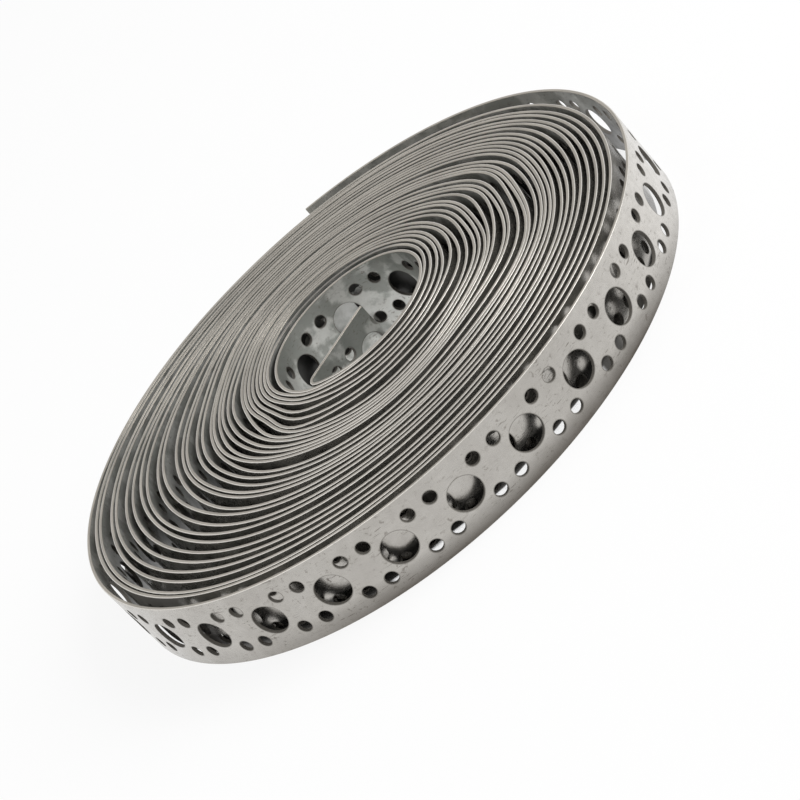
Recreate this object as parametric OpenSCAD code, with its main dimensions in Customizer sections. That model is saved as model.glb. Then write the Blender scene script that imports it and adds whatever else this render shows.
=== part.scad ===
// Roll of perforated metal strap, lying flat on its edge-turns.
// Origin: on the floor, on the axis of the outermost turn. +Z points up along the roll's axis.
// All sizes are in millimetres, all angles in degrees, counted anticlockwise from +X seen from above.

/* [Strap] */
// width of the strap, which is the height of the roll as it lies
strap_width = 20; // [12:0.5:40]
// sheet thickness of the strap
strap_thickness = 0.9; // [0.6:0.1:1.3]
// diameter of the large holes on the strap's centre line
large_hole_diameter = 8.6; // [5:0.1:11]
// diameter of the small holes beside the centre line
small_hole_diameter = 3.4; // [2:0.1:5]
// distance along the strap from one large hole to the next
hole_pitch = 18.6; // [14:0.1:30]
// distance along the strap between the two small holes of a pair
pair_spacing = 6.2; // [4:0.1:9]
// distance across the strap between the two rows of small holes
row_spacing = 10.2; // [6:0.1:16]

/* [Roll] */
// diameter over the outermost turn
outer_diameter = 169; // [140:1:240]
// number of turns, counting the loose outer turn and the loose inner turn
turn_count = 32; // [12:1:34]
// depth of the grooves between the turns on each end of the roll
groove_depth = 4; // [1:0.5:9]

/* [Loose outer turn] */
// widest gap between the loose outer turn and the wound pack
outer_gap = 4.8; // [2:0.1:8]
// angle of that widest gap
outer_gap_angle = 57; // [0:1:359]
// gap on the opposite side
least_gap = 2.4; // [1.2:0.1:6]
// angle at which the outer turn starts to close in on the pack
closing_angle = 217; // [150:1:260]
// angle at which the outer turn lies on the pack
landing_angle = 95; // [90:1:130]
// angle at which the outer turn is cut off
free_end_angle = 78.9; // [30:0.1:120]
// distance along the strap from the cut end to the first large hole
outer_end_to_hole = 10; // [5:0.1:18]

/* [Bore] */
// clear diameter inside the innermost turn
bore_diameter = 44.6; // [36:0.1:60]
// distance of the bore's axis from the outer turn's axis along X
bore_offset_x = 3.7; // [-8:0.1:8]
// distance of the bore's axis from the outer turn's axis along Y
bore_offset_y = 7.4; // [-8:0.1:8]
// widest gap between the innermost turn and the wound pack
inner_gap = 2.3; // [0.5:0.1:4]
// angle of that widest gap, seen from the bore's axis
inner_gap_angle = 110; // [0:1:359]

/* [Inner tail] */
// angle, seen from the bore's axis, at which the innermost turn ends in the bend
bend_angle = 225.2; // [180:0.1:300]
// radius of the bend at the middle of the sheet
bend_radius = 3; // [2:0.1:6]
// how far the bend turns the strap
bend_turn = 105.5; // [80:0.5:130]
// straight length of the tail after the bend
tail_length = 22.8; // [12:0.1:34]
// distance along the strap from the tail's end to its first large hole
inner_end_to_hole = 5.3; // [5:0.1:18]

/* [Hidden] */
$fn = 180;
zinc = [0.70, 0.70, 0.69];
// how far turns that touch are sunk into each other, so that the strap stays one piece
seat = 0.15;
// how far the straight tail runs back into the bend
weld = 0.3;
// how much further each end of the outer turn's closing part runs, in degrees
run_in = 6;
// how far a drill runs past the sheet on its inner side and on its outer side
drill_past = 0.4;
t = strap_thickness;
outer_r = outer_diameter / 2;
bore_r = bore_diameter / 2;
// wound pack inside the loose turn
pack_r = outer_r - t - (outer_gap + least_gap) / 2;
pack_c = (outer_gap - least_gap) / 2 * dir(outer_gap_angle + 180);
// closing part of the outer turn: it leaves the loose turn's circle without a kink, a seat lower,
// and passes through the point of the pack at landing_angle
landing_point = pack_c + pack_r * dir(landing_angle);
closing_shift = (pow(outer_r - seat, 2) - landing_point * landing_point)
                / (2 * (outer_r - seat - landing_point * dir(closing_angle)));
closing_r = outer_r - seat - closing_shift;
closing_c = closing_shift * dir(closing_angle);
// hollow of the pack that the innermost turn stands in
bore_c = [bore_offset_x, bore_offset_y];
hollow_r = bore_r + t + (inner_gap - seat) / 2;
hollow_c = bore_c + (inner_gap + seat) / 2 * dir(inner_gap_angle);
ring_count = turn_count - 2;
// lengths along the strap at the middle of the sheet
loose_sweep = free_end_angle + 360 - closing_angle;
loose_length = arc_length(outer_r - t / 2, loose_sweep);
closing_length = arc_length(closing_r - t / 2, closing_angle - landing_angle);
// the pack's own holes are made where the loose turn stands clear of it
pack_sweep = landing_angle + 360 - closing_angle;
bend_length = arc_length(bend_radius, bend_turn);
// tail: the bend starts in the sheet of the innermost turn and curls towards the bore's middle
bend_c = bore_c + (bore_r + t / 2 - seat - bend_radius) * dir(bend_angle);
tail_normal = bend_angle - bend_turn;
tail_start = bend_c + bend_radius * dir(tail_normal);

function dir(a) = [cos(a), sin(a)];
function arc_length(r, sweep) = r * sweep * PI / 180;
function arc_angle(r, length) = length / r * 180 / PI;

// ring of one sheet's thickness at the roll's full height
module turn(c, r)
  translate([c.x, c.y, 0]) rotate_extrude() translate([r - t, 0]) square([t, strap_width]);

// part of a turn, from one angle anticlockwise over a sweep
module part_turn(c, r, start, sweep)
  translate([c.x, c.y, 0])
    rotate_extrude(start = start, angle = sweep) translate([r - t, 0]) square([t, strap_width]);

// drill of one hole through a turn of outer radius r, at one angle and height
module drill(c, r, a, z, d)
  translate([c.x, c.y, z]) rotate([0, 90, a]) translate([0, 0, r - t - drill_past])
    cylinder(h = t + 2 * drill_past, d = d);

// every hole whose place along the strap, counted from one cut end, falls within this turn
// way is -1 where the strap runs clockwise from that end and 1 where it runs anticlockwise
module drill_turn(c, r, start, way, from, length, first) {
  mid = r - t / 2;
  count = ceil((from + length) / hole_pitch) + 1;
  for (i = [-1:count]) {
    s = first + i * hole_pitch;
    if (s >= from && s < from + length)
      drill(c, r, start + way * arc_angle(mid, s - from), strap_width / 2, large_hole_diameter);
    for (side = [-1, 1]) {
      q = s + hole_pitch / 2 + side * pair_spacing / 2;
      if (q >= from && q < from + length)
        for (row = [-1, 1])
          drill(c, r, start + way * arc_angle(mid, q - from),
                strap_width / 2 + row * row_spacing / 2, small_hole_diameter);
    }
  }
}

// holes of the straight tail
module drill_tail() {
  count = ceil(tail_length / hole_pitch);
  for (i = [-1:count]) {
    s = inner_end_to_hole + i * hole_pitch;
    if (s > 0 && s < tail_length) tail_hole(s, 0, large_hole_diameter);
    for (side = [-1, 1]) {
      q = s + hole_pitch / 2 + side * pair_spacing / 2;
      if (q > 0 && q < tail_length)
        for (row = [-1, 1]) tail_hole(q, row * row_spacing / 2, small_hole_diameter);
    }
  }
}

// one hole of the tail, at a distance from its cut end
module tail_hole(s, dz, d)
  in_tail() translate([tail_length - s, 0, strap_width / 2 + dz]) rotate([90, 0, 0])
    cylinder(h = t + 2 * drill_past, d = d, center = true);

// frame of the tail: X runs along it from the bend to the cut end, Y is across the sheet
module in_tail()
  translate([tail_start.x, tail_start.y, 0]) rotate([0, 0, tail_normal - 90]) children();

// the wound pack: a turned solid with its bore, grooved between the turns on both ends
module wound_pack() {
  difference() {
    translate([pack_c.x, pack_c.y, groove_depth])
      cylinder(h = strap_width - 2 * groove_depth, r = pack_r - t / 2);
    translate([hollow_c.x, hollow_c.y, -1])
      cylinder(h = strap_width + 2, r = hollow_r + t / 2);
  }
  for (i = [0:ring_count - 1]) {
    f = i / (ring_count - 1);
    turn(pack_c + f * (hollow_c - pack_c), pack_r + f * (hollow_r + t - pack_r));
  }
}

module loose_outer_turn() {
  part_turn([0, 0], outer_r, closing_angle - 360, loose_sweep);
  part_turn(closing_c, closing_r, landing_angle - run_in, closing_angle - landing_angle + 2 * run_in);
}

module inner_turn_and_tail() {
  turn(bore_c, bore_r + t);
  part_turn(bend_c, bend_radius + t / 2, tail_normal, bend_turn);
  in_tail() translate([-weld, -t / 2, 0]) cube([tail_length + weld, t, strap_width]);
}

module perforated_strap() {
  color(zinc) difference() {
    union() {
      wound_pack();
      loose_outer_turn();
      inner_turn_and_tail();
    }
    // holes of the loose outer turn, its closing part and the pack, from the outer cut end inwards
    drill_turn([0, 0], outer_r, free_end_angle, -1, 0, loose_length, outer_end_to_hole);
    drill_turn(closing_c, closing_r, closing_angle, -1, loose_length, closing_length,
               outer_end_to_hole);
    drill_turn(pack_c, pack_r, landing_angle, -1, loose_length + closing_length,
               arc_length(pack_r - t / 2, pack_sweep), outer_end_to_hole);
    // holes of the tail, the bend and the innermost turn, from the inner cut end outwards
    drill_tail();
    drill_turn(bend_c, bend_radius + t / 2, tail_normal, 1, tail_length, bend_length,
               inner_end_to_hole);
    drill_turn(bore_c, bore_r + t, bend_angle, 1, tail_length + bend_length,
               arc_length(bore_r + t / 2, 360), inner_end_to_hole);
  }
}

perforated_strap();
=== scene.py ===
"""Looks of the roll of perforated metal strap: one galvanised strap wound in a spiral.

Lengths are in millimetres until the mesh is made, angles in degrees, counted anticlockwise from +X
as seen from above. A place on the strap is given by its distance s from the outer cut end, its
height v above the lower edge and its depth in the sheet, outwards from the middle. Travel is the
angle wound clockwise from the outer cut end, and the loose outermost turn is turn 1.
"""

import math
from collections import namedtuple

import bpy
import numpy as np
from mathutils import Matrix, Vector
from mathutils.geometry import delaunay_2d_cdt


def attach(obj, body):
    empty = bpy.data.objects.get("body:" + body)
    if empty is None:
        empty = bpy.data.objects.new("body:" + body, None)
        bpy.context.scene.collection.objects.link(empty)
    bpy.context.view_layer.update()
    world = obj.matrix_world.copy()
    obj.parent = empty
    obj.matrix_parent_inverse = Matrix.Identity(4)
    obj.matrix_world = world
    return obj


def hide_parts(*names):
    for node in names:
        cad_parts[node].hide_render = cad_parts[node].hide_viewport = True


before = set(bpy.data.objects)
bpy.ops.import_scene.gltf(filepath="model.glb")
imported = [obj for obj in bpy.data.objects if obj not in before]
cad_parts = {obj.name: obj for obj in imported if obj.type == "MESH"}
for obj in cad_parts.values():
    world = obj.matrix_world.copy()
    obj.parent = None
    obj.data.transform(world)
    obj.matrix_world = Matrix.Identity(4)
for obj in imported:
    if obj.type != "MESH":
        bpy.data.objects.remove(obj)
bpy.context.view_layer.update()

MM = 0.001
TURN = 360

# the strap, as in the part's source
WIDTH = 20.0
THICKNESS = 0.9
LARGE_HOLE = 8.6
SMALL_HOLE = 3.4
HOLE_PITCH = 18.6
PAIR_SPACING = 6.2
ROW_SPACING = 10.2

# the roll, as in the part's source; the bend follows a part of a turn past the whole turns
OUTER_R = 84.5
OUTER_GAP, OUTER_GAP_ANGLE, LEAST_GAP = 4.8, 57.0, 2.4
CLOSING_ANGLE, LANDING_ANGLE, FREE_END_ANGLE = 217.0, 95.0, 78.9
OUTER_END_TO_HOLE = 10.0
BORE_CENTRE = np.array([3.7, 7.4])
BORE_R = 22.3
INNER_GAP, INNER_GAP_ANGLE = 2.3, 110.0
BEND_ANGLE, BEND_R, BEND_TURN = 225.2, 3.0, 105.5
TAIL_LENGTH = 22.8
INNER_END_TO_HOLE = 5.3
WHOLE_TURNS = 31

# gap between turns that touch
TOUCHING = 0.06
# degrees over which the innermost turn comes in to the bore's wall
BEND_RUN = 58.0

# The gaps from the second turn to the turn round the bore's wall share the room that is left
# there. Each asks for CLOSE_GAP times smooth noise, evened out about one angle, and for the width
# of the loose spots on it. The noise, all but CLOSE_LEAST of it, and the spots fade out over this
# travel at the first and the last of these gaps.
CLOSE_GAP = 0.34
CLOSE_SEED, CLOSE_WAVES, CLOSE_RATES, CLOSE_DEPTH = 7, 40, (0.2, 1.4), 0.5
CLOSE_FADE, CLOSE_LEAST = 60, 0.02
EVEN, EVEN_ANGLE, EVEN_REACH = 1.6, 80.0, 80.0
SPOT_FADE = 40
# degrees of travel over which the wound line is smoothed
LINE_SOFTNESS = 4.0

# loose spots, judged from how the rims part: outer turn of the gap, angle, reach to each side in
# degrees, and width
LOOSE_SPOTS = [
    (2, 292, 34, 0.7), (3, 158, 72, 2.5), (3, 240, 100, 1.4), (3, 335, 50, 0.5),
    (4, 224, 56, 1.7), (4, 322, 50, 0.4), (5, 160, 76, 2.1), (5, 218, 45, 0.9),
    (5, 278, 62, 2.0), (5, 325, 45, 1.0), (6, 212, 75, 1.4), (6, 290, 60, 0.5),
    (6, 348, 34, 1.2), (7, 188, 62, 1.6), (7, 266, 70, 2.2), (7, 345, 45, 0.6),
    (8, 150, 50, 1.2), (8, 245, 62, 1.8), (8, 335, 40, 0.6), (9, 176, 70, 2.1),
    (9, 228, 45, 0.4), (9, 305, 55, 0.6), (10, 235, 95, 1.8), (10, 300, 30, 0.6),
    (10, 355, 40, 0.4), (11, 164, 60, 2.5), (11, 275, 60, 0.4), (12, 150, 45, 1.0),
    (12, 222, 54, 2.0), (13, 160, 30, 0.5), (13, 285, 48, 0.9), (13, 25, 40, 0.6),
    (14, 172, 62, 1.8), (14, 222, 40, 0.7), (14, 288, 25, 0.5), (14, 344, 34, 1.5),
    (15, 245, 52, 1.2), (15, 288, 40, 0.6), (16, 182, 50, 0.6), (16, 300, 80, 1.2),
    (17, 240, 52, 2.9), (17, 300, 56, 1.8), (17, 8, 44, 0.8), (18, 178, 34, 0.7),
    (19, 200, 38, 0.9), (19, 320, 36, 1.9), (20, 352, 34, 1.3), (21, 205, 44, 0.3),
    (21, 0, 36, 1.1), (22, 172, 44, 1.7), (22, 240, 24, 0.7), (22, 295, 60, 0.7),
    (23, 205, 28, 1.4), (23, 264, 38, 0.9), (24, 262, 48, 3.1), (24, 325, 30, 0.8),
    (25, 222, 28, 0.9), (25, 296, 34, 1.1), (25, 10, 44, 0.7), (26, 250, 48, 2.3),
    (26, 312, 44, 2.1), (27, 225, 34, 1.6), (27, 270, 40, 0.7), (27, 345, 44, 1.2),
    (28, 262, 56, 2.1), (28, 310, 44, 1.2), (29, 250, 70, 0.6), (29, 92, 55, 2.4),
    (30, 275, 100, 1.0),
]

# Behind the loose turn the next turns lean in at the foot, and below CURL_HEIGHT they curl in
# further, each most at one angle. This sets in past a travel, and dies away over many turns.
LEAN, LEAN_ANGLE, LEAN_REACH = 1.0, 305.0, 75.0
CURL, CURL_ANGLE, CURL_REACH, CURL_HEIGHT = 0.75, 267.0, 36.0, 7.0
BEHIND_FROM, BEHIND_OVER, BEHIND_FADES_OVER = 320, 90, 14 * TURN

# the turns stand unevenly, up to twice this far above the floor
EDGE_WANDER = 0.16
WANDER_SEED, WANDER_WAVES, WANDER_RATES, WANDER_LIMIT = 8, 24, (0.2, 1.7), 1.6

# past this stretch of the strap the holes lie this much nearer the outer cut end than the pitch
# from there puts them
HOLE_SLIP = 6.2
SLIP_FROM, SLIP_OVER = 520.0, 150.0
# before this stretch, counted from the inner end, they lie this much nearer the bore than the
# pitch from there puts them
INNER_SLIP = 6.1
INNER_SLIP_FROM, INNER_SLIP_OVER = 236.0, 64.0
# what is left of a pitch is spread over the turns inside the roll, between these distances from
# the outer and from the inner end
REST_FROM, REST_TO = 1100.0, 600.0


def unit(angle):
    """Unit vectors at angles in degrees, seen from above."""
    a = np.radians(angle)
    return np.stack([np.cos(a), np.sin(a)], -1)


def ease(x):
    """Smooth step from 0 to 1."""
    x = np.clip(x, 0, 1)
    return x * x * (3 - 2 * x)


def hump(away):
    """1 at 0, falling smoothly to 0 at 1 to each side."""
    return 0.5 + 0.5 * np.cos(math.pi * np.clip(np.abs(away), 0, 1))


def off_angle(travel, angle):
    """Degrees between that angle and the one that the travel has come to."""
    return np.abs((START - travel - angle + TURN / 2) % TURN - TURN / 2)


def waves(x, rng, count, lowest, highest):
    """Smooth noise of about unit size along x, whose waves run from lowest to highest per turn."""
    rate = rng.uniform(lowest, highest, count)
    phase = rng.uniform(0, 2 * math.pi, count)
    x = np.asarray(x, float)
    return np.sin(2 * math.pi * x[..., None] / TURN * rate + phase).sum(-1) * math.sqrt(2 / count)


def soften(line, sigma):
    """Gaussian smoothing that keeps the ends where they are."""
    half = int(4 * sigma)
    kernel = np.exp(-0.5 * (np.arange(-half, half + 1) / sigma) ** 2)
    before = 2 * line[0] - line[half:0:-1]
    after = 2 * line[-1] - line[-2:-half - 2:-1]
    return np.convolve(np.concatenate([before, line, after]), kernel / kernel.sum(), "valid")


# ---- the strap's line, as distances from the bore's centre for each degree of travel ----

# angle of the outer cut end about the bore's centre, and travel past the whole turns to the bend
cut_point = (OUTER_R - THICKNESS / 2) * unit(FREE_END_ANGLE) - BORE_CENTRE
START = math.degrees(math.atan2(cut_point[1], cut_point[0]))
LAST = (START - BEND_ANGLE) % TURN


def reach(angle, centre, radius):
    """How far a circle lies from the bore's centre, along each angle."""
    offset = centre - BORE_CENTRE
    along = unit(angle) @ offset
    return along + np.sqrt(along**2 - offset @ offset + radius**2)


def outer_profiles(travel):
    """Middle of the sheet of the outermost turn and of the one under it."""
    angle = START - travel
    half = THICKNESS / 2
    pack_r = OUTER_R - THICKNESS - (OUTER_GAP + LEAST_GAP) / 2
    pack_c = (OUTER_GAP - LEAST_GAP) / 2 * unit(OUTER_GAP_ANGLE + 180)
    pack = reach(angle, pack_c, pack_r - half)
    # the closing part is an arc from the loose turn to where it lands on the pack
    landing = pack_c + pack_r * unit(LANDING_ANGLE)
    shift = (OUTER_R**2 - landing @ landing) / (2 * (OUTER_R - landing @ unit(CLOSING_ANGLE)))
    closing = reach(angle, shift * unit(CLOSING_ANGLE), OUTER_R - shift - half)
    loose = reach(angle, np.zeros(2), OUTER_R - half)
    # the source counts its angles about the loose turn's centre
    bearing = BORE_CENTRE + loose[:, None] * unit(angle)
    swept = (FREE_END_ANGLE - np.degrees(np.arctan2(bearing[:, 1], bearing[:, 0]))) % TURN
    first = np.where(swept < FREE_END_ANGLE + TURN - CLOSING_ANGLE, loose, closing)
    # at the cut end itself rounding could read a whole turn
    first[:2] = loose[:2]
    first = np.where(travel > TURN / 2, np.maximum(first, pack), first)
    return first, np.minimum(pack, first - THICKNESS - TOUCHING)


def inner_profiles(travel):
    """Middle of the sheet of the innermost turn and of the one round it."""
    angle = START - travel
    half = THICKNESS / 2
    hollow_c = BORE_CENTRE + INNER_GAP / 2 * unit(INNER_GAP_ANGLE)
    hollow_r = BORE_R + THICKNESS + INNER_GAP / 2 + half
    hollow = reach(angle, hollow_c, hollow_r)
    before_bend = reach(np.array([BEND_ANGLE]), hollow_c, hollow_r)[0] - BORE_R - half
    past = travel - LAST
    wall = BORE_R + half + before_bend * np.where(past > 0, ease(1 - past / BEND_RUN), 0)
    return wall, np.maximum(hollow, wall + THICKNESS + TOUCHING)


def sharing(travel, fade):
    """1 along the turns between which the room is shared, and 0 outside them."""
    begin, finish = TURN, TURN * (WHOLE_TURNS - 2) + LAST
    return ease((travel - begin) / fade) * ease((finish - travel) / fade)


def close_gaps(travel):
    """Weight of the gaps where the turns lie close."""
    rng = np.random.default_rng(CLOSE_SEED)
    noise = np.exp(CLOSE_DEPTH * waves(travel, rng, CLOSE_WAVES, *CLOSE_RATES))
    noise *= sharing(travel, CLOSE_FADE) + CLOSE_LEAST
    return CLOSE_GAP * (noise + EVEN * hump(off_angle(travel, EVEN_ANGLE) / EVEN_REACH))


def spot_gaps(travel):
    """Width of the gaps that the loose spots ask for."""
    wide = np.zeros(len(travel))
    for turn, angle, spread, width in LOOSE_SPOTS:
        centre = (START - angle) % TURN + TURN * (turn - 1)
        wide += width * hump((travel - centre) / spread)
    return wide * sharing(travel, SPOT_FADE)


def wind():
    """Distance of the strap's middle from the bore's centre, for each degree of travel.

    The two outermost and the two innermost turns have lines of their own, and the turns between
    them share the room.
    """
    travel = np.arange(TURN) + 0.0
    first, second = outer_profiles(travel)
    wall, round_wall = inner_profiles(travel)
    most = WHOLE_TURNS + 1
    turns = np.where(travel <= LAST, most, WHOLE_TURNS)
    whole = np.arange(most * TURN) + 0.0
    wanted = (spot_gaps(whole) + close_gaps(whole)).reshape(most, TURN)
    radius = np.zeros((most, TURN))
    for i in range(TURN):
        n = turns[i]
        room = second[i] - round_wall[i] - (n - 3) * THICKNESS
        shares = wanted[1:n - 2, i]
        gaps = room * shares / shares.sum()
        radius[0, i] = first[i]
        radius[1, i] = second[i]
        radius[2:n - 1, i] = second[i] - np.cumsum(gaps[:n - 3] + THICKNESS)
        radius[n - 2, i] = round_wall[i]
        radius[n - 1, i] = wall[i]
    last = TURN * WHOLE_TURNS + int(LAST)
    return soften(radius.ravel()[:last + 1], LINE_SOFTNESS)


# the bend is drawn in steps of this angle, and the tail in steps of this length
BEND_STEP, TAIL_STEP = 3.0, 0.6


def strap_line():
    """Points along the middle of the sheet, with their travel: the spiral, the bend, the tail."""
    radius = wind()
    travel = np.append(np.arange(len(radius)) + 0.0, TURN * WHOLE_TURNS + LAST)
    radius = np.append(radius, BORE_R + THICKNESS / 2)
    spiral = BORE_CENTRE + radius[:, None] * unit(START - travel)
    bend_c = BORE_CENTRE + (BORE_R + THICKNESS / 2 - BEND_R) * unit(BEND_ANGLE)
    bend = bend_c + BEND_R * unit(BEND_ANGLE - np.arange(BEND_STEP, BEND_TURN, BEND_STEP))
    normal = BEND_ANGLE - BEND_TURN
    run = np.append(np.arange(0, TAIL_LENGTH, TAIL_STEP), TAIL_LENGTH)
    tail = bend_c + BEND_R * unit(normal) + run[:, None] * unit(normal - 90)
    points = np.concatenate([spiral, bend, tail])
    after = np.full(len(bend) + len(tail), travel[-1])
    return points, np.concatenate([travel, after])


line_points, line_travel = strap_line()
steps = np.linalg.norm(np.diff(line_points, axis=0), axis=1)
line_s = np.concatenate([[0], np.cumsum(steps)])
LENGTH = line_s[-1]
slope = np.gradient(line_points, line_s, axis=0)
slope /= np.linalg.norm(slope, axis=1)[:, None]
line_normal = np.stack([-slope[:, 1], slope[:, 0]], -1)

# the holes keep their pitch from each end, and a part of a pitch is left over
HOLED = LENGTH + HOLE_SLIP - OUTER_END_TO_HOLE - INNER_END_TO_HOLE
PITCHES = round(HOLED / HOLE_PITCH)
REST = HOLED - PITCHES * HOLE_PITCH


def hole_shift(s):
    """How far the holes near s lie from where the pitch alone puts them, towards the bore."""
    second = -HOLE_SLIP * ease((s - SLIP_FROM) / SLIP_OVER)
    inside = (REST + INNER_SLIP) * ease((s - REST_FROM) / (LENGTH - REST_FROM - REST_TO))
    wall = -INNER_SLIP * ease((s - LENGTH + INNER_SLIP_FROM) / INNER_SLIP_OVER)
    return second + inside + wall


def strap_s(turn, angle):
    """Distance along the strap, as its holes count it, to an angle of the nth turn."""
    travel = (START - angle) % TURN + TURN * (turn - 1)
    s = float(np.interp(travel, line_travel, line_s))
    return s - float(hole_shift(s))


def behind(travel, angle, spread):
    """1 at that angle of the second turn, falling to 0 to each side and further in."""
    under = ease((travel - BEHIND_FROM) / BEHIND_OVER)
    deeper = np.exp(-np.maximum(travel - TURN, 0) / BEHIND_FADES_OVER)
    return hump(off_angle(travel, angle) / spread) * under * deeper


def wander_of(travel):
    """How far the strap's lower edge stands above the floor."""
    rng = np.random.default_rng(WANDER_SEED)
    noise = waves(travel, rng, WANDER_WAVES, *WANDER_RATES)
    uneven = np.clip(noise, -WANDER_LIMIT, WANDER_LIMIT) / WANDER_LIMIT
    return EDGE_WANDER * (1 + uneven) * ease(travel / TURN)


def place(s, v, depth):
    """Points of the strap in space, with the outward normal of the sheet there."""
    s = s + hole_shift(s)
    base = np.stack([np.interp(s, line_s, line_points[:, k]) for k in (0, 1)], -1)
    out = np.stack([np.interp(s, line_s, line_normal[:, k]) for k in (0, 1)], -1)
    out /= np.linalg.norm(out, axis=1)[:, None]
    travel = np.interp(s, line_s, line_travel)
    lean = LEAN * behind(travel, LEAN_ANGLE, LEAN_REACH)
    curl = CURL * behind(travel, CURL_ANGLE, CURL_REACH)
    low = np.maximum(1 - v / CURL_HEIGHT, 0)
    shift = depth - lean * (1 - v / WIDTH) - curl * low**2
    points = np.column_stack([base + out * shift[:, None], v + wander_of(travel)])
    normal = np.column_stack([out, -lean / WIDTH - 2 * curl * low / CURL_HEIGHT])
    return points, normal / np.linalg.norm(normal, axis=1)[:, None]


# ---- the strap's mesh: one flat patch for each large hole, laid along the line ----

# the long edges are rounded by this much, and a patch has corners at these heights between them
EDGE_ROUND = 0.13
LEVELS = (2.2, 5.0, 10.0, 13.4, 16.7)
# corners between holes stay this far from them
CLEARANCE = 0.9
# corners of a large and a small hole, columns of a patch, and whether it has corners between holes
Grain = namedtuple("Grain", "large small columns filled")
FINE = Grain(32, 16, 12, True)
COARSE = Grain(12, 7, 6, False)
INNER_END = Grain(32, 16, 9, True)
OUTER_END = Grain(32, 16, 1, False)
# turns at each end of the strap whose holes show, and which are drawn fine
FINE_OUTER_TURNS = 2.4
FINE_INNER_TURNS = 1.6
# places on the strap that agree to this part of a millimetre are one vertex
KEYS_PER_MM = 5000
SHEET, CUT_EDGE = 0, 1


def ring(u, v, d, count):
    """Corners of a hole."""
    a = 2 * math.pi * (np.arange(count) + 0.5) / count
    return [(u + d / 2 * math.cos(x), v + d / 2 * math.sin(x)) for x in a]


def holes_in(start, stop, grain):
    """Holes of a stretch of strap that has a large one at 0: place, height, size and corners."""
    found = []
    for s in (-HOLE_PITCH, 0, HOLE_PITCH, 2 * HOLE_PITCH):
        if start < s - LARGE_HOLE / 2 and s + LARGE_HOLE / 2 < stop:
            found.append((s, WIDTH / 2, LARGE_HOLE, grain.large))
        for side in (-1, 1):
            q = s + (HOLE_PITCH + side * PAIR_SPACING) / 2
            if start < q - SMALL_HOLE / 2 and q + SMALL_HOLE / 2 < stop:
                found += [(q, (WIDTH + row * ROW_SPACING) / 2, SMALL_HOLE, grain.small)
                          for row in (-1, 1)]
    return found


class Patch:
    """A flat stretch of strap: its corners, the faces of one side, its rings and its edges."""

    def __init__(self, start, stop, holes, grain):
        us = np.linspace(start, stop, grain.columns + 1)
        levels = [EDGE_ROUND, *LEVELS, WIDTH - EDGE_ROUND]
        low, high = levels[0], levels[-1]
        border = [(u, low) for u in us] + [(us[-1], v) for v in levels[1:]]
        border += [(u, high) for u in us[-2::-1]] + [(us[0], v) for v in levels[-2:0:-1]]
        points = list(border)
        edges = [(i, (i + 1) % len(border)) for i in range(len(border))]
        self.rings = []
        for u, v, d, count in holes:
            first = len(points)
            points += ring(u, v, d, count)
            self.rings.append((first, count, u, v))
            edges += [(first + i, first + (i + 1) % count) for i in range(count)]
        if grain.filled:
            points += [(u, v) for u in us[1:-1:2] for v in levels[1:-1]
                       if all(math.hypot(u - x, v - y) > d / 2 + CLEARANCE
                              for x, y, d, _ in holes)]
        self.points = np.array(points)
        self.faces = self.fill(edges)
        # corner numbers along the two long edges and the two ends
        top = len(us) + len(levels) - 2
        self.bottom = list(range(len(us)))
        self.top = list(range(top, top + len(us)))
        down = list(range(len(border) - 1, top + len(us) - 1, -1))
        self.start_column = [0] + down + [top + len(us) - 1]
        self.stop_column = list(range(len(us) - 1, top + 1))

    def fill(self, edges):
        """Triangles between the border and the rings, all anticlockwise."""
        owner = np.full(len(self.points), -1)
        for k, (first, count, _, _) in enumerate(self.rings):
            owner[first:first + count] = k
        corners = [Vector(p) for p in self.points]
        found = delaunay_2d_cdt(corners, edges, [], 1, 1e-5)
        came_from = [o[0] for o in found[3]]
        faces = []
        for triangle in found[2]:
            a, b, c = (came_from[i] for i in triangle)
            if owner[a] >= 0 and owner[a] == owner[b] == owner[c]:
                continue
            (xa, ya), (xb, yb), (xc, yc) = self.points[[a, b, c]]
            if (xb - xa) * (yc - ya) - (xc - xa) * (yb - ya) < 0:
                b, c = c, b
            faces.append((a, b, c))
        return faces


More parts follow.
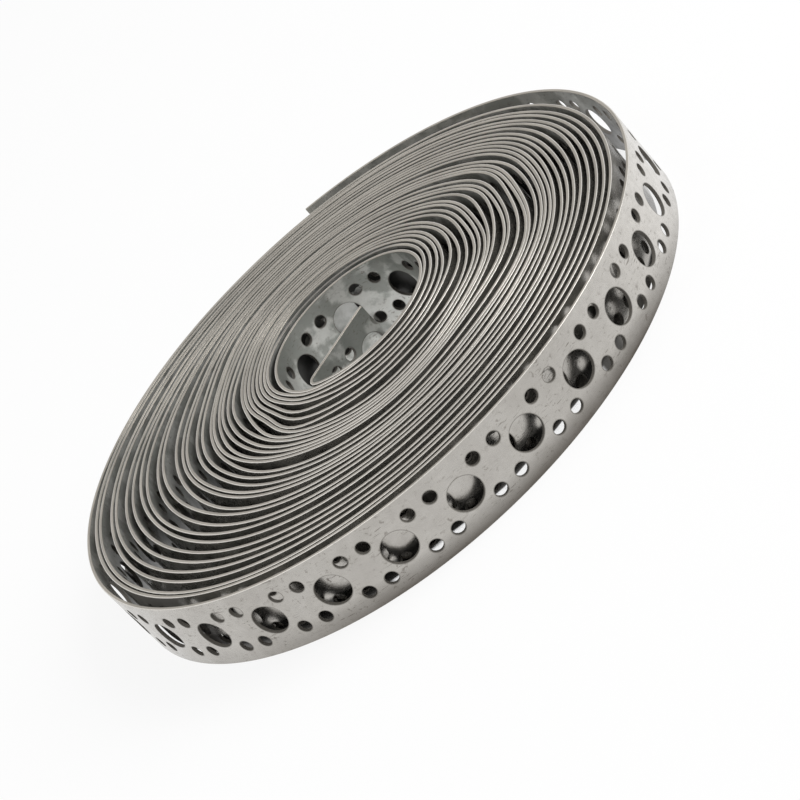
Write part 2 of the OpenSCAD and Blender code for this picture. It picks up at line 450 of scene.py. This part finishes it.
class Sheet:
    """Collects the strap's faces, each with its corners' normals and its kind."""

    def __init__(self):
        self.keys, self.places, self.corners = {}, [], []
        self.sizes, self.normals, self.kinds = [], [], []

    def point(self, s, v, depth):
        """The number of the vertex at that place on the strap."""
        key = (round(s * KEYS_PER_MM), round(v * KEYS_PER_MM), round(depth * KEYS_PER_MM))
        if key not in self.keys:
            self.keys[key] = len(self.places)
            self.places.append((s, v, depth))
        return self.keys[key]

    def face(self, corners, normals, kind):
        """Corners run anticlockwise in (s, v, depth), which space shows mirrored."""
        self.corners += corners[::-1]
        self.normals += normals[::-1]
        self.sizes.append(len(corners))
        self.kinds.append(kind)

    def patch(self, p, at):
        """The sheet's two sides, the walls of its holes and its long edges."""
        out = [self.point(u + at, v, THICKNESS / 2) for u, v in p.points]
        back = [self.point(u + at, v, -THICKNESS / 2) for u, v in p.points]
        for a, b, c in p.faces:
            self.face([out[a], out[b], out[c]], [(0, 0, 1)] * 3, SHEET)
            self.face([back[a], back[c], back[b]], [(0, 0, -1)] * 3, SHEET)
        for first, count, u, v in p.rings:
            for i in range(count):
                a, b = first + i, first + (i + 1) % count
                na, nb = ((u - p.points[k][0], v - p.points[k][1], 0) for k in (a, b))
                self.face([out[b], back[b], back[a], out[a]], [nb, nb, na, na], CUT_EDGE)
        self.long_edge(p, at, out, back, p.bottom, 0.0, -1)
        self.long_edge(p, at, out, back, p.top[::-1], WIDTH, 1)

    def long_edge(self, p, at, out, back, row, v, up):
        """One edge in three strips, of which the outer two round it off."""
        inner = THICKNESS / 2 - EDGE_ROUND
        for a, b in zip(row, row[1:]):
            ua, ub = p.points[a][0] + at, p.points[b][0] + at
            oa, ob = self.point(ua, v, inner), self.point(ub, v, inner)
            ia, ib = self.point(ua, v, -inner), self.point(ub, v, -inner)
            for corners, normals in (
                    ([out[a], out[b], ob, oa], [(0, 0, 1)] * 2 + [(0, up, 0)] * 2),
                    ([oa, ob, ib, ia], [(0, up, 0)] * 4),
                    ([ia, ib, back[b], back[a]], [(0, up, 0)] * 2 + [(0, 0, -1)] * 2)):
                if up < 0:
                    corners, normals = corners[::-1], normals[::-1]
                self.face(corners, normals, CUT_EDGE)

    def end(self, p, at, column, along):
        """Closes a cut end of the strap."""
        half, inner = THICKNESS / 2, THICKNESS / 2 - EDGE_ROUND
        u = p.points[column[0]][0] + at
        loop = [(0.0, inner)] + [(p.points[k][1], half) for k in column] + [(WIDTH, inner)]
        loop += [(WIDTH, -inner)] + [(p.points[k][1], -half) for k in column[::-1]]
        loop += [(0.0, -inner)]
        corners = [self.point(u, v, d) for v, d in loop]
        if along > 0:
            corners = corners[::-1]
        self.face(corners, [(along, 0, 0)] * len(corners), CUT_EDGE)


def build_sheet():
    """The whole strap laid flat, from the outer cut end to the inner one."""
    half = HOLE_PITCH / 2
    centres = OUTER_END_TO_HOLE + HOLE_PITCH * np.arange(PITCHES + 1)
    travel = np.interp(centres, line_s, line_travel)
    shows = travel < FINE_OUTER_TURNS * TURN
    shows |= travel > line_travel[-1] - FINE_INNER_TURNS * TURN
    whole = {grain: Patch(-half, half, holes_in(-half, half, grain), grain)
             for grain in (FINE, COARSE)}
    sheet = Sheet()
    first = Patch(0, OUTER_END_TO_HOLE - half, [], OUTER_END)
    sheet.patch(first, 0)
    sheet.end(first, 0, first.start_column, -1)
    for k in range(PITCHES):
        sheet.patch(whole[FINE if shows[k] else COARSE], OUTER_END_TO_HOLE + k * HOLE_PITCH)
    at = OUTER_END_TO_HOLE + PITCHES * HOLE_PITCH
    holes = holes_in(-half, INNER_END_TO_HOLE, INNER_END)
    last = Patch(-half, INNER_END_TO_HOLE, holes, INNER_END)
    sheet.patch(last, at)
    sheet.end(last, at, last.stop_column, 1)
    return sheet


def corner_normals(sheet, out):
    """Normals of the faces' corners in space, from the sheet's outward normals there."""
    local = np.array(sheet.normals, float)
    across = out[sheet.corners]
    up = np.tile((0.0, 0.0, 1.0), (len(across), 1))
    along = np.cross(across, up)
    world = local[:, :1] * along + local[:, 1:2] * up + local[:, 2:] * across
    return world / np.linalg.norm(world, axis=1)[:, None]


def make_strap():
    """The strap as one mesh; its "strap" attribute holds s and v in metres and the side."""
    sheet = build_sheet()
    s, v, depth = np.array(sheet.places).T
    points, out = place(s, v, depth)
    faces = len(sheet.sizes)
    mesh = bpy.data.meshes.new("strap_roll")
    mesh.vertices.add(len(points))
    mesh.vertices.foreach_set("co", (points * MM).ravel())
    mesh.loops.add(len(sheet.corners))
    mesh.loops.foreach_set("vertex_index", sheet.corners)
    mesh.polygons.add(faces)
    starts = np.concatenate([[0], np.cumsum(sheet.sizes)[:-1]])
    mesh.polygons.foreach_set("loop_start", starts)
    mesh.polygons.foreach_set("material_index", sheet.kinds)
    mesh.update(calc_edges=True)
    mesh.polygons.foreach_set("use_smooth", np.ones(faces, bool))
    mesh.normals_split_custom_set(corner_normals(sheet, out).tolist())
    own = mesh.attributes.new("strap", "FLOAT_VECTOR", "POINT")
    own.data.foreach_set("vector", np.column_stack([s * MM, v * MM, np.sign(depth)]).ravel())
    mesh.validate(clean_customdata=False)
    strap = bpy.data.objects.new("strap_roll", mesh)
    bpy.context.scene.collection.objects.link(strap)
    return strap


# ---- node trees ----

# a part of the strap: the turn and the angle where it begins and where it ends, and its fade in mm
Part = namedtuple("Part", "begin end fade")


class Nodes:
    """Short way to write a node tree."""

    def __init__(self, owner):
        owner.use_nodes = True
        self.tree = owner.node_tree
        self.tree.nodes.clear()

    def put(self, socket, value):
        """Links a socket to the input, or sets the input to a value."""
        if isinstance(value, bpy.types.NodeSocket):
            self.tree.links.new(value, socket)
        else:
            socket.default_value = value

    def add(self, kind, settings=(), **inputs):
        """A node; its inputs are given by name, or by number as i0, i1 and so on."""
        node = self.tree.nodes.new(kind)
        for name, value in dict(settings).items():
            setattr(node, name, value)
        for name, value in inputs.items():
            numbered = name[0] == "i" and name[1:].isdigit()
            self.put(node.inputs[int(name[1:]) if numbered else name.replace("_", " ")], value)
        return node

    def maths(self, operation, a, b=0.0):
        return self.add("ShaderNodeMath", {"operation": operation}, i0=a, i1=b).outputs[0]

    def times(self, a, *others):
        for b in others:
            a = self.maths("MULTIPLY", a, b)
        return a

    def plus(self, a, b):
        return self.maths("ADD", a, b)

    def minus(self, a, b):
        return self.maths("SUBTRACT", a, b)

    def most(self, a, b):
        return self.maths("MAXIMUM", a, b)

    def size(self, a):
        return self.maths("ABSOLUTE", a)

    def weighted(self, base, *parts):
        """The base plus each value times its weight."""
        for value, weight in parts:
            base = self.plus(self.times(value, weight), base)
        return base

    def ramp(self, value, low, high, smooth=False):
        """0 at low and 1 at high, and level beyond them."""
        settings = {"interpolation_type": "SMOOTHSTEP" if smooth else "LINEAR"}
        node = self.add("ShaderNodeMapRange", settings, Value=value, From_Min=low, From_Max=high)
        return node.outputs[0]

    def mix(self, share, a, b):
        """Colour a, with that share of colour b."""
        node = self.add("ShaderNodeMix", {"data_type": "RGBA"}, i0=share, i6=a, i7=b)
        return node.outputs[2]

    def noise(self, where, scale, detail, roughness=0.5):
        node = self.add("ShaderNodeTexNoise", Vector=where, Scale=scale, Detail=detail,
                        Roughness=roughness)
        return node.outputs[0]

    def flakes(self, where, scale):
        """A level of its own for each cell of a random pattern."""
        cells = self.add("ShaderNodeTexVoronoi", Vector=where, Scale=scale)
        return self.add("ShaderNodeSeparateColor", Color=cells.outputs["Color"]).outputs[0]

    def stretched(self, where, scale, turn=0.0):
        turned = (0, 0, math.radians(turn))
        return self.add("ShaderNodeMapping", Vector=where, Rotation=turned, Scale=scale).outputs[0]

    def mirrored(self):
        """1 for rays that reach a surface by a reflection or through something clear."""
        path = self.add("ShaderNodeLightPath").outputs
        return self.most(path["Is Glossy Ray"], path["Is Transmission Ray"])

    def seen(self):
        """1 for the camera's own rays."""
        return self.add("ShaderNodeLightPath").outputs["Is Camera Ray"]


class StrapNodes(Nodes):
    """Nodes of the strap's materials: along, height and side are its place on the strap."""

    def __init__(self, owner):
        super().__init__(owner)
        self.own = self.add("ShaderNodeAttribute", {"attribute_name": "strap"}).outputs["Vector"]
        parts = self.add("ShaderNodeSeparateXYZ", Vector=self.own).outputs
        self.along, self.height, self.side = parts

    def between(self, begin, end, fade):
        """1 between two distances along the strap, falling to 0 over the fade outside them."""
        rise = self.ramp(self.along, (begin - fade) * MM, begin * MM, True)
        fall = self.ramp(self.along, (end + fade) * MM, end * MM, True)
        return self.times(rise, fall)

    def within(self, part):
        """1 on a part of the strap, falling to 0 over its fade."""
        return self.between(strap_s(*part.begin), strap_s(*part.end), part.fade)

    def below(self, full, none, smooth=True):
        """1 up to a height, falling to 0 at another one above it."""
        return self.ramp(self.height, none * MM, full * MM, smooth)


# ---- the zinc ----

def grey(level, warmth=0.0):
    """A grey of that level, with red raised and blue lowered by the warmth."""
    return (level * (1 + warmth), level, level * (1 - warmth * 1.6), 1)


# colours of the zinc's outer and inner side, each in the two shades that it varies between
MOTTLED = (grey(0.43, 0.045), grey(0.49, 0.04))
PATCHY = ((0.36, 0.37, 0.345, 1), (0.60, 0.605, 0.575, 1))
PATCHY_IN_BORE = (0.22, 0.235, 0.215, 1)
# painted light: the colour that the loose turn grows lighter towards
SIDE_LIGHT = grey(0.74, 0.035)
FINE_GRAIN = grey(0.30, 0.05)
FLAKE = grey(0.52, 0.03)
# colours of what wear left on it, then of painted shade on the two outer turns, of a painted
# reflection of the white floor, of places that hardly any light reaches, and of painted light
MARK = (0.17, 0.15, 0.13, 1)
BURR = (0.13, 0.12, 0.105, 1)
LOOSE_FOOT_SHADE = (0.072, 0.061, 0.050, 1)
SECOND_TURN_SHADE = grey(0.12, 0.05)
REFLECTED_WHITE = grey(0.95)
GLOOM = grey(0.05, 0.03)
BORE_GLOOM = grey(0.05, 0.02)
LIT_ZINC = ((0.66, 0.67, 0.64, 1), (0.85, 0.855, 0.83, 1))
# colours of the cut edges
SHEARED = (grey(0.25, 0.085), grey(0.34, 0.08))
BURNISHED = grey(0.70, 0.04)
TORN = grey(0.22, 0.08)
DARK_RIM_COLOUR = grey(0.14, 0.05)
HOLE_WALL = grey(0.09, 0.08)

# Where it lies, in mm. A height is where a mark is still full, and its NONE where it has gone.
# what shows in the bore begins between these distances from the inner end
IN_BORE = (205, 195)
# its bright patches are more below this height and fewer above it
PATCHY_BELOW, PATCHY_TILT = 9.2, 7.0
# painted light: the loose turn grows lighter from the first of these angles to the second
LIGHTER_ANGLES = (284, 330)
BURR_WIDTH = 0.3
# painted shade on the loose turn's foot, strongest on this part
LOOSE_FOOT_SHADE_HEIGHT, LOOSE_FOOT_SHADE_NONE = 0.0, 5.8
LOOSE_FOOT_SHADE_MOST = Part((1, 299), (1, 252), 50)
# painted shade on the foot of the second turn behind the loose one, but for a strip with a wavy
# upper edge, which holds a painted reflection of the white floor
SECOND_FOOT_SHADE = Part((2, 298), (2, 200), 8)
SECOND_FOOT_SHADE_HEIGHT, SECOND_FOOT_SHADE_NONE = 5.8, 6.9
WHITE_STRIP = Part((2, 292.5), (2, 249.0), 2)
WHITE_STRIP_HEIGHT, WHITE_STRIP_NONE, WHITE_STRIP_WAVE = 2.6, 2.9, 2.5
# further along it gets painted shade, at the toe only or over its whole height
TOE_SHADE = Part((2, 320), (2, 303), 6)
TOE_HEIGHT, TOE_NONE = 2.2, 3.0
NEAR_SHADE = Part((2, 337), (2, 324), 6)
FAR_SHADE = Part((2, 214), (2, 194), 6)
# painted shade: the inner side is dark deep down between the turns
DEEP_HEIGHT, DEEP_NONE = 8, 16
# and all over on the turn round the bore's wall: distances from the inner end, and fade
SHADED = (345, 178, 6)
SHADED_HEIGHT, SHADED_NONE = 18.7, 19.6
# but for a light place behind the large hole at the back of the bore
BACK_HOLE = (WHOLE_TURNS - 1, 88.3)
LIT_REACH, LIT_FADE = 0.6 * LARGE_HOLE, 0.5
LIT_HEIGHT, LIT_NONE = 13, 14
# the bore's upper rim is darker at the back
DARK_RIM = Part((WHOLE_TURNS - 1, 118), (WHOLE_TURNS, 50), 12)
# cut edges this near the strap's own edges are those, and from the second distance on hole walls
EDGES_TO, HOLES_FROM = 0.3, 0.6

# scales of the noise of each set of scratches, per metre along and across the strap, and its angle
SCRATCHES = (((200, 2100, 1), 5), ((330, 2100, 1), -14), ((380, 2100, 1), 33),
             ((420, 2100, 1), 62))


class SheetNodes(StrapNodes):
    """Nodes of the flat sides, with the masks and noises that its sections share."""

    def __init__(self, owner):
        super().__init__(owner)
        self.inside = self.maths("LESS_THAN", self.side, 0.0)
        self.outside = self.minus(1.0, self.inside)
        flat = self.add("ShaderNodeCombineXYZ", X=self.along, Y=self.height, Z=self.inside)
        self.flat = flat.outputs[0]
        self.cloud = self.ramp(self.noise(self.flat, 70, 4, 0.6), 0.35, 0.65, True)
        self.fine = self.ramp(self.noise(self.flat, 420, 3, 0.6), 0.3, 0.7)
        self.bore = self.ramp(self.along, *((LENGTH - d) * MM for d in IN_BORE))
        tilt = self.times(self.minus(PATCHY_BELOW * MM, self.height), self.bore, PATCHY_TILT)
        uneven = self.plus(self.noise(self.flat, 95, 5, 0.55), tilt)
        self.patches = self.ramp(uneven, 0.455, 0.555, True)


def zinc_tone_and_side_light(n):
    """Cloudy zinc: soft mottling and painted light outside, bright irregular patches inside."""
    outer = n.mix(n.cloud, *MOTTLED)
    # painted light: the loose turn lighter towards one side
    pale = n.ramp(n.along, *(strap_s(1, angle) * MM for angle in LIGHTER_ANGLES), True)
    outer = n.mix(n.times(pale, 0.85), outer, SIDE_LIGHT)
    inner = n.mix(n.patches, *PATCHY)
    duller = n.times(n.minus(1.0, n.patches), n.bore, 0.6)
    inner = n.mix(duller, inner, PATCHY_IN_BORE)
    colour = n.mix(n.inside, outer, inner)
    colour = n.mix(n.times(n.fine, 0.25), colour, FINE_GRAIN)
    return n.mix(n.times(n.flakes(n.flat, 260), 0.10), colour, FLAKE)


def wear(n):
    """1 on dark specks and short scratches, which come in patches."""
    worn = n.ramp(n.noise(n.flat, 130, 2), 0.45, 0.66)
    speck = n.ramp(n.noise(n.flat, 700, 2, 0.6), 0.60, 0.68)
    marks = n.times(speck, n.weighted(0.3, (worn, 0.7)))
    for scale, turn in SCRATCHES:
        line = n.ramp(n.noise(n.stretched(n.flat, scale, turn), 1, 1), 0.67, 0.73)
        marks = n.most(marks, n.times(line, worn))
    return marks


def burr(n):
    """1 at the rim of each hole, falling to 0 a little way from it."""
    pitch = n.maths("DIVIDE", n.minus(n.along, OUTER_END_TO_HOLE * MM), HOLE_PITCH * MM)
    up = n.size(n.minus(n.height, WIDTH / 2 * MM))
    rims = []
    for ahead, spacing, rows, d in ((0.5, 0, 0, LARGE_HOLE),
                                    (0.0, PAIR_SPACING, ROW_SPACING, SMALL_HOLE)):
        part = n.maths("FRACT", n.plus(pitch, ahead))
        off = n.size(n.times(n.minus(part, 0.5), HOLE_PITCH * MM))
        x, y = n.minus(off, spacing / 2 * MM), n.minus(up, rows / 2 * MM)
        across = n.add("ShaderNodeCombineXYZ", X=x, Y=y).outputs[0]
        away = n.add("ShaderNodeVectorMath", {"operation": "LENGTH"}, i0=across).outputs["Value"]
        rims.append(n.ramp(away, (d / 2 + BURR_WIDTH) * MM, d / 2 * MM, True))
    return n.most(*rims)


def painted_loose_foot_shade(n):
    """1 where painted shade darkens the foot of the outer side."""
    shade_streaks = n.ramp(n.noise(n.stretched(n.flat, (18, 90, 1)), 1, 4, 0.6), 0.25, 0.60)
    low = n.times(n.below(LOOSE_FOOT_SHADE_HEIGHT, LOOSE_FOOT_SHADE_NONE, smooth=False), n.outside)
    return n.times(low, n.weighted(0.28, (n.within(LOOSE_FOOT_SHADE_MOST), 0.72)), n.weighted(0.65, (shade_streaks, 0.35)))


def painted_second_turn_shade(n):
    """1 where painted shade lies on the second turn."""
    toe = n.times(n.below(TOE_HEIGHT, TOE_NONE), n.outside, n.within(TOE_SHADE))
    whole = n.most(n.within(FAR_SHADE), n.times(n.within(NEAR_SHADE), 0.7))
    return n.most(toe, n.times(whole, n.outside))


def painted_white_strip(n):
    """1 on the strip at the second turn's foot behind the loose one: a painted reflection of the
    floor.
    """
    wave = n.minus(n.noise(n.stretched(n.flat, (1, 0, 1)), 60, 1), 0.5)
    level = n.plus(n.height, n.times(wave, WHITE_STRIP_WAVE * MM))
    low = n.ramp(level, WHITE_STRIP_NONE * MM, WHITE_STRIP_HEIGHT * MM)
    return n.times(low, n.within(WHITE_STRIP), n.outside)


def round_the_bore(n, colour):
    """The colour with the turn round the bore's wall shaded, and 1 on the light place there."""
    begin, end, fade = SHADED
    shaded = n.times(n.between(LENGTH - begin, LENGTH - end, fade), n.inside,
                     n.below(SHADED_HEIGHT, SHADED_NONE))
    colour = n.mix(n.times(shaded, 0.88), colour, BORE_GLOOM)
    back = strap_s(*BACK_HOLE)
    lit = n.times(n.between(back - LIT_REACH, back + LIT_REACH, LIT_FADE), n.inside,
                  n.below(LIT_HEIGHT, LIT_NONE, smooth=False))
    return n.mix(lit, colour, n.mix(n.patches, *LIT_ZINC)), lit


def zinc_sheet():
    """The flat sides of the strap."""
    material = bpy.data.materials.new("zinc_sheet")
    n = SheetNodes(material)
    marks, second_turn_shaded = wear(n), painted_second_turn_shade(n)
    colour = zinc_tone_and_side_light(n)
    colour = n.mix(n.times(marks, 0.65), colour, MARK)
    colour = n.mix(n.times(burr(n), 0.7), colour, BURR)
    # painted shade on the loose turn's foot
    colour = n.mix(painted_loose_foot_shade(n), colour, LOOSE_FOOT_SHADE)
    # painted shade on the second turn's foot behind the loose one
    behind_loose_shade = n.times(n.below(SECOND_FOOT_SHADE_HEIGHT, SECOND_FOOT_SHADE_NONE), n.outside, n.within(SECOND_FOOT_SHADE))
    colour = n.mix(n.times(behind_loose_shade, 0.92), colour, GLOOM)
    # painted shade further along the second turn
    colour = n.mix(n.times(second_turn_shaded, 0.9), colour, SECOND_TURN_SHADE)
    # painted reflection of the white floor on a strip at the second turn's foot
    colour = n.mix(painted_white_strip(n), colour, REFLECTED_WHITE)
    # painted shade deep down between the turns
    deep = n.times(n.below(DEEP_HEIGHT, DEEP_NONE), n.inside, n.minus(1.0, n.bore))
    colour = n.mix(n.times(deep, 0.9), colour, GLOOM)
    colour, lit = round_the_bore(n, colour)

    rough = n.weighted(0.17, (n.cloud, 0.06), (n.fine, 0.07), (marks, 0.15), (n.inside, 0.10))
    # the inner side shines less like metal, and the painted shade on the second turn doesn't shine
    # at all
    unshaded = n.minus(1.0, second_turn_shaded)
    metallic = n.minus(0.96, n.times(n.inside, n.weighted(0.26, (lit, 0.4))))
    metallic = n.times(metallic, unshaded)
    relief = n.weighted(n.noise(n.flat, 55, 2), (n.fine, 0.06), (marks, -0.05))
    bump = n.add("ShaderNodeBump", Strength=0.35, Distance=0.4 * MM, Height=relief).outputs[0]
    shader = n.add("ShaderNodeBsdfPrincipled", Base_Color=colour, Metallic=metallic,
                   Roughness=rough, Specular_IOR_Level=n.times(unshaded, 0.5), Normal=bump)
    n.add("ShaderNodeOutputMaterial", Surface=shader.outputs[0])
    return material


def zinc_cut_edge():
    """The sheared long edges, the cut ends and the walls of the holes."""
    material = bpy.data.materials.new("zinc_cut_edge")
    n = StrapNodes(material)
    flat = n.stretched(n.own, (1, 1, 0.001))
    shear = n.noise(flat, 900, 3, 0.6)
    slow = n.noise(flat, 45, 3)
    colour = n.mix(n.ramp(slow, 0.35, 0.65, True), *SHEARED)
    # a burnished line on the outer side, and rougher metal behind it
    burnished = n.ramp(n.plus(n.side, n.times(shear, 0.5)), 0.80, 1.15, True)
    colour = n.mix(n.times(burnished, 0.9), colour, BURNISHED)
    colour = n.mix(n.times(n.ramp(shear, 0.5, 0.75), 0.35), colour, TORN)
    colour = n.mix(n.times(n.within(DARK_RIM), 0.8), colour, DARK_RIM_COLOUR)
    off_middle = n.size(n.minus(n.height, WIDTH / 2 * MM))
    in_hole = n.ramp(off_middle, (WIDTH / 2 - EDGES_TO) * MM, (WIDTH / 2 - HOLES_FROM) * MM)
    colour = n.mix(n.times(in_hole, 0.85), colour, HOLE_WALL)
    rough = n.weighted(0.25, (shear, 0.2), (in_hole, 0.3))
    metallic = n.minus(1.0, n.times(in_hole, 0.8))
    bump = n.add("ShaderNodeBump", Strength=0.3, Distance=0.1 * MM, Height=shear).outputs[0]
    shader = n.add("ShaderNodeBsdfPrincipled", Base_Color=colour, Metallic=metallic,
                   Roughness=rough, Normal=bump)
    n.add("ShaderNodeOutputMaterial", Surface=shader.outputs[0])
    return material


# ---- the piece ----

strap = make_strap()
strap.data.materials.append(zinc_sheet())
strap.data.materials.append(zinc_cut_edge())
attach(strap, "root")
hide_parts("perforated_strap")


# ---- floor, light and camera, in metres ----

FLOOR_HALF = 4.0
# share of plain white in what the camera sees of the floor, which keeps a soft shadow
FLOOR_WHITE = 0.85
# strength of the world's light, which the camera and reflections see at full strength
WORLD_LIGHT = 0.55


def pale_floor():
    """A pale floor that a reflection sees as plain white."""
    material = bpy.data.materials.new("pale_floor")
    n = Nodes(material)
    grain = n.noise(n.add("ShaderNodeTexCoord").outputs["Object"], 30, 3)
    colour = n.mix(grain, grey(0.90), grey(0.93))
    lit = n.add("ShaderNodeBsdfDiffuse", Color=colour).outputs[0]
    white = n.add("ShaderNodeEmission", Color=grey(1.0), Strength=1.0).outputs[0]
    share = n.most(n.times(n.seen(), FLOOR_WHITE), n.mirrored())
    both = n.add("ShaderNodeMixShader", i0=share, i1=lit, i2=white).outputs[0]
    n.add("ShaderNodeOutputMaterial", Surface=both)
    return material


def make_floor():
    """A square floor, wide enough to fill every view."""
    mesh = bpy.data.meshes.new("floor")
    corners = [(x * FLOOR_HALF, y * FLOOR_HALF, 0)
               for x, y in ((-1, -1), (1, -1), (1, 1), (-1, 1))]
    mesh.from_pydata(corners, [], [(0, 1, 2, 3)])
    mesh.materials.append(pale_floor())
    plane = bpy.data.objects.new("floor", mesh)
    bpy.context.scene.collection.objects.link(plane)
    return plane


def studio_world():
    """Even light from all round, which the camera and reflections see as plain white."""
    world = bpy.data.worlds.new("studio")
    n = Nodes(world)
    share = n.most(n.seen(), n.mirrored())
    strength = n.add("ShaderNodeMapRange", Value=share, To_Min=WORLD_LIGHT).outputs[0]
    sky = n.add("ShaderNodeBackground", Color=grey(1.0), Strength=strength).outputs[0]
    n.add("ShaderNodeOutputWorld", Surface=sky)
    bpy.context.scene.world = world


def softbox(name, azimuth, elevation, distance, size, power):
    """A square area light that faces the roll."""
    data = bpy.data.lights.new(name, "AREA")
    data.shape, data.size, data.energy = "SQUARE", size, power
    lamp = bpy.data.objects.new(name, data)
    bpy.context.scene.collection.objects.link(lamp)
    level = math.cos(math.radians(elevation))
    away = Vector((*(unit(azimuth) * level), math.sin(math.radians(elevation))))
    lamp.location = away * distance
    lamp.rotation_mode = "QUATERNION"
    lamp.rotation_quaternion = away.to_track_quat("Z", "Y")


floor = make_floor()
studio_world()
softbox("key", azimuth=345, elevation=36, distance=1.5, size=1.0, power=16)
softbox("fill", azimuth=190, elevation=60, distance=1.6, size=1.2, power=4)

# the camera looks along +Y and down, rolled as the photograph is
CAMERA_PLACE = Vector((-0.000562, -0.603605, 0.279091))
CAMERA_DOWN = 24.99
CAMERA_ROLL = 43.249
# focal length and sensor in mm
CAMERA_LENS, CAMERA_SENSOR = 121.87, 36
CAMERA_CLIP = (0.01, 20)


def make_camera():
    """The camera of the photograph's view."""
    data = bpy.data.cameras.new("camera")
    data.lens, data.sensor_width = CAMERA_LENS, CAMERA_SENSOR
    data.clip_start, data.clip_end = CAMERA_CLIP
    camera = bpy.data.objects.new("camera", data)
    bpy.context.scene.collection.objects.link(camera)
    down, roll = math.radians(CAMERA_DOWN), math.radians(CAMERA_ROLL)
    ahead = Vector((0, math.cos(down), -math.sin(down)))
    right = Vector((1, 0, 0))
    above = Vector((0, math.sin(down), math.cos(down)))
    axis_x = right * math.cos(roll) - above * math.sin(roll)
    axis_y = right * math.sin(roll) + above * math.cos(roll)
    turned = Matrix((axis_x, axis_y, -ahead)).transposed().to_4x4()
    camera.matrix_world = Matrix.Translation(CAMERA_PLACE) @ turned
    return camera


bpy.context.scene.camera = make_camera()
bpy.context.scene.view_settings.view_transform = "Standard"
